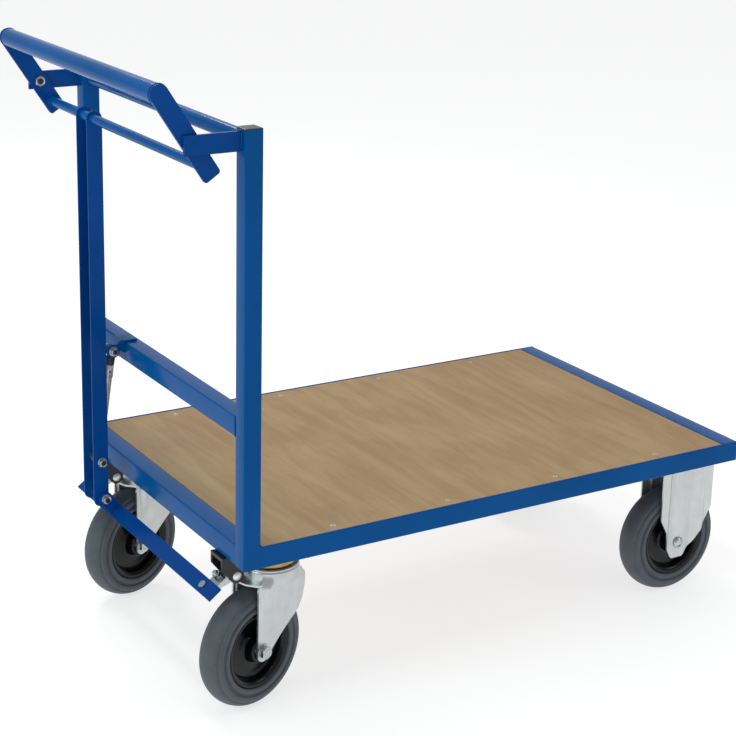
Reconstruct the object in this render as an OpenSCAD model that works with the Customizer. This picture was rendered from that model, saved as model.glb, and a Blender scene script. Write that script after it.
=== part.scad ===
// Push trolley with an end frame, a wooden deck and a tilting brake handle.
// Sizes in millimetres. X runs from the handle end to the front, Y to the left, Z up.
// The origin is on the floor, under the centre of the overall box.

/* [Deck] */
// Outside length of the deck frame
deck_l = 1005; // [900:1:1200]
// Outside width of the deck frame
deck_w = 624.5; // [560:0.5:700]
// Height of the underside of the deck frame above the floor
frame_z = 264.7; // [262:0.1:290]
// Height of the deck frame's rails
rail_h = 36; // [30:1:45]
// Width of the top of the two end rails
end_rail_w = 34; // [31:1:40]
// Thickness of the wooden deck board
board_t = 15; // [12:1:18]

/* [End frame] */
// Width of the square post tube
post_w = 30; // [28:1:34]
// Height of the top of the posts above the floor
post_top = 958; // [900:1:1000]
// Wall thickness of the steel tubes
wall = 2; // [1.5:0.1:3]
// Height of the top of the cross member above the floor
member_top = 512; // [480:1:560]
// Height of the cross member's section
member_h = 34; // [30:1:40]
// Diameter of the fixed tube between the posts
top_tube_d = 24; // [20:1:28]

/* [Handle] */
// Diameter of the push bar
grip_d = 30; // [25:1:32]
// Diameter of the lower bar that lifts the pull channel
lift_d = 16; // [14:1:18]
// Distance from the handle's pivot to the push bar
grip_arm = 91.3; // [80:0.1:100]
// Distance from the handle's pivot to the lower bar
lift_arm = 43.8; // [42:0.1:46]
// Lean of the handle's levers from upright, in degrees
lever_lean = 33.4; // [30:0.1:38]
// Distance from the posts' rear faces back to the handle's pivot
pivot_back = 77; // [72:1:80]
// Height of the handle's pivot above the floor
pivot_z = 939; // [900:1:942]

/* [Pull channel] */
// Distance of the channel's middle to the left of the centre plane
chan_y = 137.2; // [120:0.1:150]
// Outside width of the channel
chan_w = 44.5; // [42:0.5:48]
// Depth of the channel's flanges
chan_d = 27; // [25:1:30]
// Thickness of the channel's sheet
chan_t = 2.5; // [2:0.1:3]

/* [Castors] */
// Diameter of the wheels
wheel_d = 200; // [190:1:200]
// Width of the tyres
wheel_w = 50; // [40:1:50]
// Distance of the swivel axes behind the deck's centre
swivel_back = 415; // [405:1:420]
// Distance of the swivel axes from the centre plane
swivel_y = 233; // [225:1:235]
// Distance of a swivel wheel's axle behind its swivel axis
trail = 42; // [38:1:44]
// Turn of the right swivel castor from straight ahead, in degrees
right_yaw = 16.3; // [0:0.1:30]
// Turn of the left swivel castor from straight ahead, in degrees
left_yaw = 18.1; // [0:0.1:30]
// Distance of the fixed wheels' axles in front of the deck's centre
fixed_front = 423; // [400:1:423]
// Distance of the fixed wheels from the centre plane
fixed_y = 228; // [220:1:232]

/* [Brake pedal] */
// Lean of the pedal bar's face from flat, in degrees
pedal_lean = 37.5; // [35:0.5:40]
// Width of the pedal bar
pedal_w = 26.5; // [24:0.5:30]
// Length of the pedal bar
pedal_l = 523; // [500:1:530]

/* [Hidden] */
$fn = 64;
eps = 0.01;
fit = 0.06;             // radial running clearance
open_fit = 1.3;         // radial play at a pivot that closes a linkage
wheel_r = wheel_d / 2;
deck_top = frame_z + rail_h;
lever_dir = [-sin(lever_lean), cos(lever_lean)];
// X of the deck's centre, so that the overall box is centred on the origin
rear_reach = deck_l / 2 + pivot_back + grip_arm * sin(lever_lean) + grip_d / 2;
front_reach = fixed_front + wheel_r;
deck_x = (rear_reach - front_reach) / 2;
rear_x = deck_x - deck_l / 2;
front_x = deck_x + deck_l / 2;
post_y = deck_w / 2 - post_w / 2;
cap_t = 2;
pivot = [rear_x - pivot_back, pivot_z];
grip = pivot + grip_arm * lever_dir;
lift = pivot - lift_arm * lever_dir;
flat_t = 5;             // flat bar of the handle's levers and brackets
flat_w = 30;
bracket_y = 296;        // inner face of a handle bracket
lever_y = 290.5;        // inner face of a handle lever
lever_foot = 18;        // lever beyond the lower bar
m10_r = 5;
m8_r = 4;
chan_x = lift[0] + 0.9; // middle of the channel's depth
pedal_bolt = [chan_x + 6.5, 239];
strut_foot = [chan_x + 2.5, 306];
strut_head = [rear_x - 21.5, 499];
face_dir = [cos(pedal_lean), sin(pedal_lean)];
face_up = [-sin(pedal_lean), cos(pedal_lean)];
ear_h = 35;
bar_mid = pedal_bolt - ear_h * face_up;
bar_t = 5;
pedal_pivot = [rear_x + 19.5, 230];
base_t = 6;
base_z = frame_z - base_t;
base_l = 135;
base_w = 110;
swivel_x = deck_x - swivel_back;
fixed_x = deck_x + fixed_front;
crown_z = 234;          // underside of a fork's crown
crown_t = 4.4;
lug_in = 15.5;          // inner face of a castor's brake lug, from the castor's middle
lug_t = 5;
kingpin_r = 7;
axle_r = 6;
sleeve_r = 10;
fork_in = wheel_w / 2 + 2.5;
fork_t = 3.5;
plate_holes = [for (x = [-44, 44], y = [-37, 37]) [x, y]];
fixed_plate_x = 19.5;   // middle of a fixed castor's plate, in front of its axle
fixed_plate_l = 119;
fixed_holes = [for (x = [-47, 10], y = [-40.5, 40.5]) [x, y]];
bearer_xs = [-330, -110, 110, 330];
bearer_w = 40;
leg_t = 4;              // thickness of the side rails' angle steel
leg_w = 36;

// A cylinder along Y from y0 to y1, about the point p = [x, z]
module rod_y(p, y0, y1, r, fn = 64) {
    translate([p[0], y1, p[1]]) rotate([90, 0, 0]) cylinder(h = y1 - y0, r = r, $fn = fn);
}

// A flat XZ outline given thickness from y0 to y1
module plate_y(y0, y1) {
    translate([0, y1, 0]) rotate([90, 0, 0]) linear_extrude(y1 - y0) children();
}

// A box from its low corner to its high corner
module block(lo, hi) {
    translate(lo) cube(hi - lo);
}

// A hexagon bolt along Y: head at y0 growing away from y1, nut on the other side
module bolt_y(p, y0, y1, r, dir = 1, head_sides = 6) {
    head_h = 1.3 * r;
    nut_h = 1.6 * r;
    lo = min(y0, y1);
    hi = max(y0, y1);
    head_lo = dir > 0 ? lo - head_h : hi;
    nut_lo = dir > 0 ? hi : lo - nut_h;
    tail_lo = dir > 0 ? hi + nut_h : lo - nut_h - 0.5 * r;
    rod_y(p, lo - eps, hi + eps, r);
    rod_y(p, head_lo, head_lo + head_h, 1.85 * r, head_sides);
    rod_y(p, nut_lo, nut_lo + nut_h, 1.85 * r, 6);
    rod_y(p, tail_lo - eps, tail_lo + 0.5 * r, r);
}

// ---- End frame ----
module post(side) {
    color("#17498a") difference() {
        block([rear_x, side * post_y - post_w / 2, frame_z],
              [rear_x + post_w, side * post_y + post_w / 2, post_top - cap_t]);
        block([rear_x + wall, side * post_y - post_w / 2 + wall, frame_z - 1],
              [rear_x + post_w - wall, side * post_y + post_w / 2 - wall, post_top]);
    }
}

module post_caps() {
    plug = post_w / 2 - wall;
    mid = [rear_x + post_w / 2, post_y];
    color("#15171a") for (side = [-1, 1]) translate([mid[0], side * mid[1], 0]) {
        block([-post_w / 2, -post_w / 2, post_top - cap_t], [post_w / 2, post_w / 2, post_top]);
        block([-plug, -plug, post_top - cap_t - 14], [plug, plug, post_top - cap_t]);
    }
}

module cross_member() {
    y = post_y - post_w / 2;
    color("#17498a") difference() {
        block([rear_x, -y, member_top - member_h], [rear_x + post_w, y, member_top]);
        block([rear_x + wall, -y - 1, member_top - member_h + wall],
              [rear_x + post_w - wall, y + 1, member_top - wall]);
    }
}

module top_tube() {
    y = post_y - post_w / 2;
    p = [rear_x + post_w / 2, pivot_z];
    color("#17498a") difference() {
        rod_y(p, -y, y, top_tube_d / 2);
        rod_y(p, -y - 1, y + 1, top_tube_d / 2 - wall);
    }
}

module handle_brackets() {
    color("#17498a") for (side = [-1, 1]) {
        y0 = side > 0 ? bracket_y : -bracket_y - flat_t;
        difference() {
            block([pivot[0] - flat_w / 2, y0, pivot_z - flat_w / 2],
                  [rear_x, y0 + flat_t, pivot_z + flat_w / 2]);
            rod_y(pivot, y0 - 1, y0 + flat_t + 1, m10_r + fit);
        }
    }
}

module handle_pivot_bolts() {
    nut_h = 8;
    nut_y = lever_y - 0.3 - nut_h;
    color("#c8caca") for (side = [0, 1]) mirror([0, side, 0]) {
        rod_y(pivot, nut_y - 2.5, bracket_y + flat_t + 0.6, m10_r);
        rod_y(pivot, nut_y, nut_y + nut_h, 1.85 * m10_r, 6);
    }
}

module strut_bracket() {
    ear_t = 5;
    y0 = chan_y - 14;
    plate_x = rear_x + post_w - 8;
    color("#17498a") {
        block([rear_x - 6, y0, member_top], [plate_x, y0 + 34, member_top + 4]);
        difference() {
            plate_y(y0, y0 + ear_t) union() {
                polygon([[strut_head[0] - 12, strut_head[1]], [strut_head[0] + 12, strut_head[1]],
                         [rear_x, strut_head[1] - 6], [rear_x, member_top + 4], [rear_x - 6, member_top + 4]]);
                translate(strut_head) circle(12);
            }
            rod_y(strut_head, y0 - 1, y0 + ear_t + 1, m8_r + fit);
        }
    }
}

module strut_pivot_bolt() {
    color("#c8caca") bolt_y(strut_head, chan_y - 14, chan_y + 8, m8_r, -1);
}

// ---- Deck ----
module side_rail(side) {
    y = deck_w / 2;
    x0 = rear_x + post_w;
    color("#17498a") mirror([0, side < 0 ? 1 : 0, 0]) {
        block([x0, y - leg_t, frame_z], [front_x, y, deck_top]);
        block([rear_x + end_rail_w, y - leg_w, frame_z], [front_x, y - leg_t + eps, frame_z + leg_t]);
    }
}

module end_rail(x0, y, z0) {
    color("#17498a") difference() {
        block([x0, -y, z0], [x0 + end_rail_w, y, deck_top]);
        block([x0 + wall, -y - 1, z0 + wall], [x0 + end_rail_w - wall, y + 1, deck_top - wall]);
    }
}

module corner_gussets() {
    y1 = deck_w / 2 - leg_w;
    color("#17498a") for (side = [0, 1], x = [[rear_x + end_rail_w, swivel_x + 85],
                                             [fixed_x - 60, front_x]])
        mirror([0, side, 0]) difference() {
            block([x[0], y1 - 120, frame_z], [x[1], y1, frame_z + leg_t]);
            castor_holes(leg_t, frame_z);
        }
}

// Screw holes of a left-hand swivel castor and a left-hand fixed castor
module castor_holes(t, z) {
    for (h = plate_holes) translate([swivel_x + h[0], swivel_y + h[1], z - 1])
        cylinder(h = t + 2, r = m10_r + 0.5);
    for (h = fixed_holes) translate([fixed_x + fixed_plate_x + h[0], fixed_y + h[1], z - 1])
        cylinder(h = t + 2, r = m10_r + 0.5);
}

module cross_bearers() {
    y = deck_w / 2 - leg_t;
    z0 = frame_z + leg_t;
    z1 = deck_top - board_t - 0.8;
    color("#17498a") for (x = bearer_xs) difference() {
        block([deck_x + x - bearer_w / 2, -y, z0], [deck_x + x + bearer_w / 2, y, z1]);
        block([deck_x + x - bearer_w / 2 + wall, -y - 1, z0 + wall],
              [deck_x + x + bearer_w / 2 - wall, y + 1, z1 - wall]);
    }
}

screw_xs = [for (i = [-1.5:1:1.5]) i * 220];
screw_y = deck_w / 2 - 24;

module deck_board() {
    gap = 0.6;
    y = deck_w / 2 - leg_t - gap;
    color("#b29371") difference() {
        block([rear_x + end_rail_w + gap, -y, deck_top - board_t - 0.8],
              [front_x - end_rail_w - gap, y, deck_top - 0.8]);
        for (x = screw_xs, side = [-1, 1]) translate([deck_x + x, side * screw_y, deck_top - 4.3])
            cylinder(h = 4, r = 4.5);
    }
}

module board_screws() {
    color("#c8caca") for (x = screw_xs, side = [-1, 1])
        translate([deck_x + x, side * screw_y, deck_top - 4.3]) difference() {
            cylinder(h = 3.2, r = 4.4);
            translate([0, 0, 1.4]) cylinder(h = 3, r = 1.8, $fn = 6);
        }
}

// ---- Castors ----
module castor_base(side) {
    color("#15171a") translate([swivel_x, side * swivel_y, 0]) {
        difference() {
            union() {
                block([-base_l / 2, -base_w / 2, base_z], [base_l / 2, base_w / 2, frame_z]);
                block([rear_x - 7 - swivel_x, -lug_in - lug_t, base_z], [-base_l / 2, lug_in + lug_t, frame_z]);
                translate([0, 0, 247]) cylinder(h = base_z - 247 + eps, r = 42);
                for (s = [-1, 1]) castor_lug(s);
            }
            translate([0, 0, 240]) cylinder(h = 40, r = kingpin_r);
            for (h = plate_holes) translate([h[0], side * h[1], base_z - 1]) cylinder(h = 9, r = m10_r + 0.5);
            rod_y([pedal_pivot[0] - swivel_x, pedal_pivot[1]], -40, 40, m8_r + fit);
        }
    }
}

module castor_lug(s) {
    p = [pedal_pivot[0] - swivel_x, pedal_pivot[1]];
    y0 = s > 0 ? lug_in : -lug_in - lug_t;
    plate_y(y0, y0 + lug_t) union() {
        polygon([[rear_x - 7 - swivel_x, base_z + 1], [rear_x - 7 - swivel_x, base_z - 14],
                 [p[0] - 11, p[1] - 5], [p[0], p[1] - 12], [p[0] + 12, p[1]], [p[0] + 16, base_z + 1]]);
        translate(p) circle(12);
    }
}

module bearing_races() {
    color("#b08a3c") for (side = [-1, 1]) translate([swivel_x, side * swivel_y, 0])
        rotate_extrude() polygon([[30, 238.8], [42, 238.8], [44.5, 241], [44.5, 244], [42, 247], [30, 247]]);
}

module kingpins() {
    color("#c8caca") for (side = [-1, 1]) translate([swivel_x, side * swivel_y, 0]) {
        translate([0, 0, crown_z - 7]) cylinder(h = frame_z - crown_z + 6, r = kingpin_r);
        translate([0, 0, crown_z - 8.3]) cylinder(h = 8, r = 13);
    }
}

module lug_rivets() {
    color("#e4e6e6") for (side = [-1, 1]) {
        lo = side * swivel_y - lug_in - lug_t;
        hi = side * swivel_y + lug_in + lug_t;
        rod_y(pedal_pivot, lo - eps, hi + eps, m8_r);
        rod_y(pedal_pivot, lo - 2.5, lo, 7.5);
        rod_y(pedal_pivot, hi, hi + 2.5, 7.5);
    }
}

module castor_fixing(x, y) {
    z0 = base_z;
    translate([x, y, 0]) {
        translate([0, 0, z0 - 6.4]) cylinder(h = 6.4, r = 9.2, $fn = 6);
        translate([0, 0, z0 - eps]) cylinder(h = 14, r = m10_r);
        translate([0, 0, frame_z + leg_t]) cylinder(h = 8, r = 9.2, $fn = 6);
    }
}

module castor_fixings() {
    color("#c8caca") for (side = [0, 1]) mirror([0, side, 0]) {
        for (h = plate_holes) castor_fixing(swivel_x + h[0], swivel_y + h[1]);
        for (h = fixed_holes) castor_fixing(fixed_x + fixed_plate_x + h[0], fixed_y + h[1]);
    }
}

module fixed_plates() {
    color("#c8caca") for (side = [0, 1]) mirror([0, side, 0]) difference() {
        translate([fixed_x + fixed_plate_x, fixed_y, 0])
            block([-fixed_plate_l / 2, -base_w / 2, base_z], [fixed_plate_l / 2, base_w / 2, frame_z]);
        castor_holes(base_t, base_z);
    }
}

module fixed_cheek() {
    plate_y(0, fork_t) polygon([[-40, base_z], [-40, 148], [-25, 121], [-22, 87], [-12, 69], [16, 71],
                               [27, 92], [57, 120], [79, 156], [79, base_z]]);
    plate_y(fork_t - 1, fork_t + 1.5) polygon([[-20, base_z], [-20, 100], [-12, 84], [14, 84],
                                              [22, 98], [22, base_z]]);
}

module fixed_fork(side) {
    color("#c8caca") translate([fixed_x, side * fixed_y, 0]) difference() {
        for (m = [0, 1]) mirror([0, m, 0]) translate([0, fork_in, 0]) fixed_cheek();
        rod_y([0, wheel_r], -50, 50, axle_r + fit);
    }
}

// Bolt, nut and spacer sleeve of one wheel, across a fork of the given outer half width
module axle_set(half, head_sides) {
    p = [0, wheel_r];
    bolt_y(p, -half, half, axle_r, -1, head_sides);
    difference() {
        rod_y(p, -fork_in + 0.1, fork_in - 0.1, sleeve_r);
        rod_y(p, -fork_in - 1, fork_in + 1, axle_r + fit);
    }
}

module fixed_axles() {
    color("#c8caca") for (side = [-1, 1]) translate([fixed_x, side * fixed_y, 0])
        mirror([0, side < 0 ? 1 : 0, 0]) axle_set(fork_in + fork_t + 1.5, 48);
}

// Places a child drawn along +X from a swivel axis at its castor
module at_swivel(side) {
    translate([swivel_x, side * swivel_y, 0]) rotate([0, 0, side < 0 ? right_yaw : left_yaw]) children();
}

module swivel_cheek() {
    tip = 12;
    plate_y(0, fork_t) union() {
        polygon([[-trail - 11, 98], [-trail - 11, 214], [55, 214], [48, 178], [35, 153],
                 [-trail + 20, 98], [-trail + 10, 88]]);
        translate([-trail, 94]) circle(tip);
    }
}

module swivel_fork(side) {
    color("#c8caca") at_swivel(side) difference() {
        union() {
            for (m = [0, 1]) mirror([0, m, 0]) translate([0, fork_in, 0]) swivel_cheek();
            rotate_extrude() polygon([[kingpin_r + fit, crown_z], [36, crown_z], [44, crown_z - 5],
                                      [46, 211], [50, 211], [48.5, crown_z - 3], [42, crown_z + crown_t],
                                      [kingpin_r + fit, crown_z + crown_t]]);
            difference() {
                block([-trail - 24, -fork_in - fork_t, 211], [56, fork_in + fork_t, 214]);
                translate([0, 0, 200]) cylinder(h = 30, r = 47);
            }
        }
        rod_y([-trail, wheel_r], -50, 50, axle_r + fit);
    }
}

module swivel_axle(side) {
    color("#c8caca") at_swivel(side) translate([-trail, 0, 0]) axle_set(fork_in + fork_t, 6);
}

// Places a wheel drawn about the Z axis at one of the four axles
module at_wheel(place) {
    if (place == "rear_left") at_swivel(1) translate([-trail, 0, wheel_r]) rotate([90, 0, 0]) children();
    if (place == "rear_right") at_swivel(-1) translate([-trail, 0, wheel_r]) rotate([90, 0, 0]) children();
    if (place == "front_left") translate([fixed_x, fixed_y, wheel_r]) rotate([90, 0, 0]) children();
    if (place == "front_right") translate([fixed_x, -fixed_y, wheel_r]) rotate([90, 0, 0]) children();
}

rim_r = 66;
crown_r = 30;
bearing_r = 14;

module tyre(place) {
    color("#62656b") at_wheel(place) rotate_extrude($fn = 96) intersection() {
        translate([wheel_r - crown_r, 0]) circle(crown_r);
        translate([rim_r, -wheel_w / 2]) square([wheel_r - rim_r, wheel_w]);
    }
}

module hub(place) {
    half = wheel_w / 2;
    // Half profile from the bore outwards; the other half is its mirror image
    side = [[bearing_r, half + 1.5], [20, half + 1.5], [22, half - 6], [24, 8], [48, 6],
            [51, 12], [58, half - 6], [rim_r, half - 3]];
    color("#1c2026") at_wheel(place) rotate_extrude($fn = 96)
        polygon(concat(side, [for (i = [len(side) - 1:-1:0]) [side[i][0], -side[i][1]]]));
}

module bearing(place) {
    color("#8f9396") at_wheel(place) rotate_extrude()
        translate([sleeve_r + fit, -22]) square([bearing_r - sleeve_r - fit, 44]);
}

// ---- Handle ----
module push_bar() {
    color("#17498a") difference() {
        rod_y(grip, -lever_y, lever_y, grip_d / 2);
        rod_y(grip, -lever_y - 1, lever_y + 1, grip_d / 2 - wall);
    }
}

module lever(side) {
    y0 = side > 0 ? lever_y : -lever_y - flat_t;
    low = -lift_arm - lever_foot;
    corner = 5;
    half = flat_w / 2;
    color("#17498a") difference() {
        plate_y(y0, y0 + flat_t) translate(pivot) rotate(lever_lean) union() {
            translate([0, grip_arm]) circle(half);
            translate([-half, low + corner]) square([flat_w, grip_arm - low - corner]);
            translate([-half + corner, low]) square([flat_w - 2 * corner, corner + eps]);
            for (s = [-1, 1]) translate([s * (half - corner), low + corner]) circle(corner);
        }
        rod_y(pivot, y0 - 1, y0 + flat_t + 1, m10_r + fit);
    }
}

module lift_bar() {
    color("#17498a") rod_y(lift, -lever_y, lever_y, lift_d / 2);
}

// ---- Pull channel ----
module pull_channel() {
    half = chan_d / 2;
    y0 = chan_y - chan_w / 2;
    y1 = chan_y + chan_w / 2;
    web_top = lift[1] - 14;
    web_low = pedal_bolt[1] + 14;
    color("#17498a") difference() {
        union() {
            for (y = [y0, y1 - chan_t]) plate_y(y, y + chan_t) union() {
                for (z = [lift[1], pedal_bolt[1]]) translate([chan_x, z]) circle(half);
                translate([chan_x - half, pedal_bolt[1]]) square([chan_d, lift[1] - pedal_bolt[1]]);
            }
            block([chan_x + half - chan_t, y0 + eps, web_low], [chan_x + half, y1 - eps, web_top]);
        }
        rod_y(lift, y0 - 1, y1 + 1, lift_d / 2 + fit);
        rod_y(pedal_bolt, y0 - 1, y1 + 1, m8_r + fit);
        rod_y(strut_foot, y0 - 1, y1 + 1, m8_r + fit);
        // Window in the web for the gas strut and its bracket
        block([chan_x, chan_y - 17, strut_foot[1] - 24], [chan_x + half + 1, chan_y + 17, strut_head[1] + 23]);
    }
}

module strut_foot_bolt() {
    color("#c8caca") bolt_y(strut_foot, chan_y - chan_w / 2, chan_y + chan_w / 2, m8_r, -1);
}

module pedal_cross_bolt() {
    color("#c8caca") bolt_y(pedal_bolt, chan_y - chan_w / 2 - 4.6, chan_y + chan_w / 2 + 4.6, m8_r, -1);
}

// ---- Gas strut ----
strut_run = strut_foot - strut_head;
strut_len = norm(strut_run);
strut_tilt = atan2(-strut_run[0], -strut_run[1]);

// Places a child drawn up from the strut's foot, with Z along the strut
module at_strut() {
    translate([strut_foot[0], chan_y, strut_foot[1]]) rotate([0, strut_tilt, 0]) children();
}

module strut_cylinder() {
    color("#c8caca") at_strut() difference() {
        translate([0, 0, 70]) cylinder(h = strut_len - 70 - 26, r = 9);
        translate([0, 0, 69]) cylinder(h = strut_len - 70 - 30, r = 7.6);
    }
}

module strut_head_cap() {
    color("#15171a") at_strut() difference() {
        union() {
            translate([0, 0, strut_len - 26]) cylinder(h = 13, r = 9.8);
            translate([0, 0, strut_len - 14]) cylinder(h = 10, r = 4.8);
            translate([0, 5, strut_len]) rotate([90, 0, 0]) cylinder(h = 10, r = 9);
        }
        translate([0, 12, strut_len]) rotate([90, 0, 0]) cylinder(h = 24, r = m8_r + fit);
    }
}

module strut_rod() {
    color("#dcdede") at_strut() {
        translate([0, 0, 11]) cylinder(h = 90, r = 4);
        translate([0, 0, 96]) cylinder(h = 10, r = 7.54);
    }
}

module strut_foot_eye() {
    color("#15171a") at_strut() difference() {
        union() {
            translate([0, 6, 0]) rotate([90, 0, 0]) cylinder(h = 12, r = 9);
            translate([0, 0, 3]) cylinder(h = 16, r = 6);
        }
        translate([0, 12, 0]) rotate([90, 0, 0]) cylinder(h = 24, r = m8_r + open_fit);
        translate([0, 0, 11]) cylinder(h = 30, r = 4);
    }
}

// ---- Brake pedal ----
// Places a flat outline whose X runs up the pedal bar's face and whose Y points off it
module on_pedal() {
    translate(bar_mid) rotate(pedal_lean) children();
}

pivot_d = (pedal_pivot - bar_mid) * face_dir;
pivot_n = (pedal_pivot - bar_mid) * face_up;
screw_off = 11;

module pedal_bar() {
    half = pedal_l / 2;
    color("#17498a") difference() {
        plate_y(-half, half) on_pedal() translate([-pedal_w / 2, -bar_t / 2]) square([pedal_w, bar_t]);
        for (side = [-1, 1]) pedal_screw_hole(side);
    }
}

module pedal_screw_hole(side) {
    translate([bar_mid[0], side * (swivel_y - screw_off), bar_mid[1]]) rotate([0, -pedal_lean, 0])
        translate([0, 0, -8]) cylinder(h = 16, r = m8_r + fit);
}

module pedal_ears() {
    gap = 0.6;
    color("#17498a") for (y0 = [chan_y - chan_w / 2 - gap - 4, chan_y + chan_w / 2 + gap]) difference() {
        plate_y(y0, y0 + 4) on_pedal() {
            translate([0, ear_h]) circle(12);
            translate([-12, bar_t / 2]) square([24, ear_h - bar_t / 2]);
        }
        rod_y(pedal_bolt, y0 - 1, y0 + 5, m8_r + open_fit);
    }
}

module brake_levers() {
    color("#c8caca") for (side = [-1, 1]) difference() {
        translate([0, side * swivel_y, 0]) union() {
            plate_y(-14, 14) on_pedal() translate([-9, -bar_t / 2 - 3]) square([pivot_d + 12, 3]);
            for (y0 = [-14, 11]) plate_y(y0, y0 + 3) on_pedal() union() {
                translate([pivot_d, pivot_n]) circle(9);
                polygon([[2, -bar_t / 2 - 1], [pivot_d + 3, -bar_t / 2 - 1], [pivot_d + 8.5, pivot_n + 3],
                         [pivot_d, pivot_n - 9], [pivot_d - 24, -12]]);
            }
        }
        pedal_screw_hole(side);
        at_adjuster(side) translate([0, 0, -8]) cylinder(h = 16, r = m8_r + fit);
        rod_y(pedal_pivot, side * swivel_y - 20, side * swivel_y + 20, m8_r + fit);
    }
}

// Places a child drawn on the pedal bar's face at a brake lever's adjusting bolt
module at_adjuster(side) {
    translate([bar_mid[0], side * swivel_y, bar_mid[1]]) rotate([0, -pedal_lean, 0])
        translate([26, 0, 0]) children();
}

module brake_lever_bolts() {
    color("#dcdede") for (side = [-1, 1]) {
        translate([bar_mid[0], side * (swivel_y - screw_off), bar_mid[1]]) rotate([0, -pedal_lean, 0]) {
            translate([0, 0, -bar_t / 2 - 7]) cylinder(h = bar_t + 7, r = m8_r);
            translate([0, 0, bar_t / 2]) cylinder(h = 2.6, r = 6.5);
            translate([0, 0, -bar_t / 2 - 9.4]) cylinder(h = 6.4, r = 7.4, $fn = 6);
        }
        at_adjuster(side) {
            translate([0, 0, -bar_t / 2]) cylinder(h = 5.3, r = 7.4, $fn = 6);
            translate([0, 0, -bar_t / 2 - 3]) cylinder(h = 3.2, r = m8_r);
        }
    }
}

post(1);  // post_left
post(-1);  // post_right
post_caps();
side_rail(1);  // side_rail_left
side_rail(-1);  // side_rail_right
end_rail(rear_x, post_y - post_w / 2, frame_z);  // end_rail_rear
end_rail(front_x - end_rail_w, deck_w / 2 - leg_t, frame_z + leg_t);  // end_rail_front
corner_gussets();
cross_bearers();
deck_board();
board_screws();
cross_member();
top_tube();
handle_brackets();
handle_pivot_bolts();
strut_bracket();
strut_pivot_bolt();
castor_base(1);  // castor_base_left
castor_base(-1);  // castor_base_right
bearing_races();
kingpins();
lug_rivets();
castor_fixings();
fixed_plates();
fixed_fork(1);  // fixed_fork_left
fixed_fork(-1);  // fixed_fork_right
fixed_axles();
swivel_fork(1);  // swivel_fork_left
swivel_fork(-1);  // swivel_fork_right
swivel_axle(1);  // swivel_axle_left
swivel_axle(-1);  // swivel_axle_right
tyre("rear_left");  // tyre_rear_left
tyre("rear_right");  // tyre_rear_right
tyre("front_left");  // tyre_front_left
tyre("front_right");  // tyre_front_right
hub("rear_left");  // hub_rear_left
hub("rear_right");  // hub_rear_right
hub("front_left");  // hub_front_left
hub("front_right");  // hub_front_right
bearing("rear_left");  // bearing_rear_left
bearing("rear_right");  // bearing_rear_right
bearing("front_left");  // bearing_front_left
bearing("front_right");  // bearing_front_right
push_bar();
lever(1);  // lever_left
lever(-1);  // lever_right
lift_bar();
pull_channel();
strut_foot_bolt();
pedal_cross_bolt();  // pedal_bolt
pedal_bar();
pedal_ears();
brake_levers();
brake_lever_bolts();
strut_cylinder();
strut_head_cap();
strut_rod();
strut_foot_eye();
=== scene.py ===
# A push trolley: welded end frame and wooden deck on four castors, with a tilting
# handle that lifts a brake pedal through a pull channel and a gas strut.
import math
import bmesh
import bpy
import numpy as np
from mathutils import Matrix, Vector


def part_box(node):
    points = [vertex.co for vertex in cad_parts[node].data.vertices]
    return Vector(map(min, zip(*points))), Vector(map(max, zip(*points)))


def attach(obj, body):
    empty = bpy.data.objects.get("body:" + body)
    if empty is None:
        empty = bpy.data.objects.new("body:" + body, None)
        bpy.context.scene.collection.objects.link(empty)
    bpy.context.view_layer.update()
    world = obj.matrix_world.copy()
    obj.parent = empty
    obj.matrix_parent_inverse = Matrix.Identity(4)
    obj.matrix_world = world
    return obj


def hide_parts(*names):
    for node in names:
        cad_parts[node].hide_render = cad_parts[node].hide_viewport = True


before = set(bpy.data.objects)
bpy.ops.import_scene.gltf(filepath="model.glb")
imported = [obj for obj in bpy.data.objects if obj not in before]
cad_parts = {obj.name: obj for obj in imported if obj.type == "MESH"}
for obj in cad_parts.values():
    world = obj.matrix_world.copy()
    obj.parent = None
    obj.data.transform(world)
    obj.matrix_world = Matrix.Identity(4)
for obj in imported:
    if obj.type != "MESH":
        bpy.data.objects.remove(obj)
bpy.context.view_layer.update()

# ---- Room: floor, light and camera ----
# A light-table floor of white acrylic in a white room, with a narrow overhead strip that draws lines along the
# tubes, a panel on the handle side and a weak fill, seen by an 88 mm lens.
def linear(colour):
    """sRGB hex to linear: c/12.92 below 0.04045, else ((c + 0.055)/1.055) to the power 2.4."""
    parts = np.array([int(colour[i:i + 2], 16) / 255 for i in (1, 3, 5)])
    parts = np.where(parts <= 0.04045, parts / 12.92, ((parts + 0.055) / 1.055) ** 2.4)
    return (*parts.tolist(), 1.0)


def add(tree, kind, values=None, links=None, **settings):
    """Adds one node: its properties, its socket values by name or index, and its incoming links."""
    made = tree.nodes.new(kind)
    for name, value in settings.items():
        setattr(made, name, value)
    for name, value in (values or {}).items():
        made.inputs[name].default_value = value
    for name, source in (links or {}).items():
        tree.links.new(source, made.inputs[name])
    return made


def new_material(name):
    """An empty material's node tree, with its Principled shader already on the output."""
    material = bpy.data.materials.new(name)
    material.use_nodes = True
    material.node_tree.nodes.clear()
    shader = add(material.node_tree, "ShaderNodeBsdfPrincipled")
    add(material.node_tree, "ShaderNodeOutputMaterial", links={"Surface": shader.outputs["BSDF"]})
    return material, material.node_tree, shader


def blend_colours(tree, amount, stops):
    """A colour ramp from a 0 to 1 amount over (place, hex) stops."""
    ramp = add(tree, "ShaderNodeValToRGB", links={"Fac": amount})
    while len(ramp.color_ramp.elements) < len(stops):
        ramp.color_ramp.elements.new(0.5)
    for element, (place, colour) in zip(ramp.color_ramp.elements, stops):
        element.position = place
        element.color = linear(colour)
    return ramp.outputs["Color"]


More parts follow.
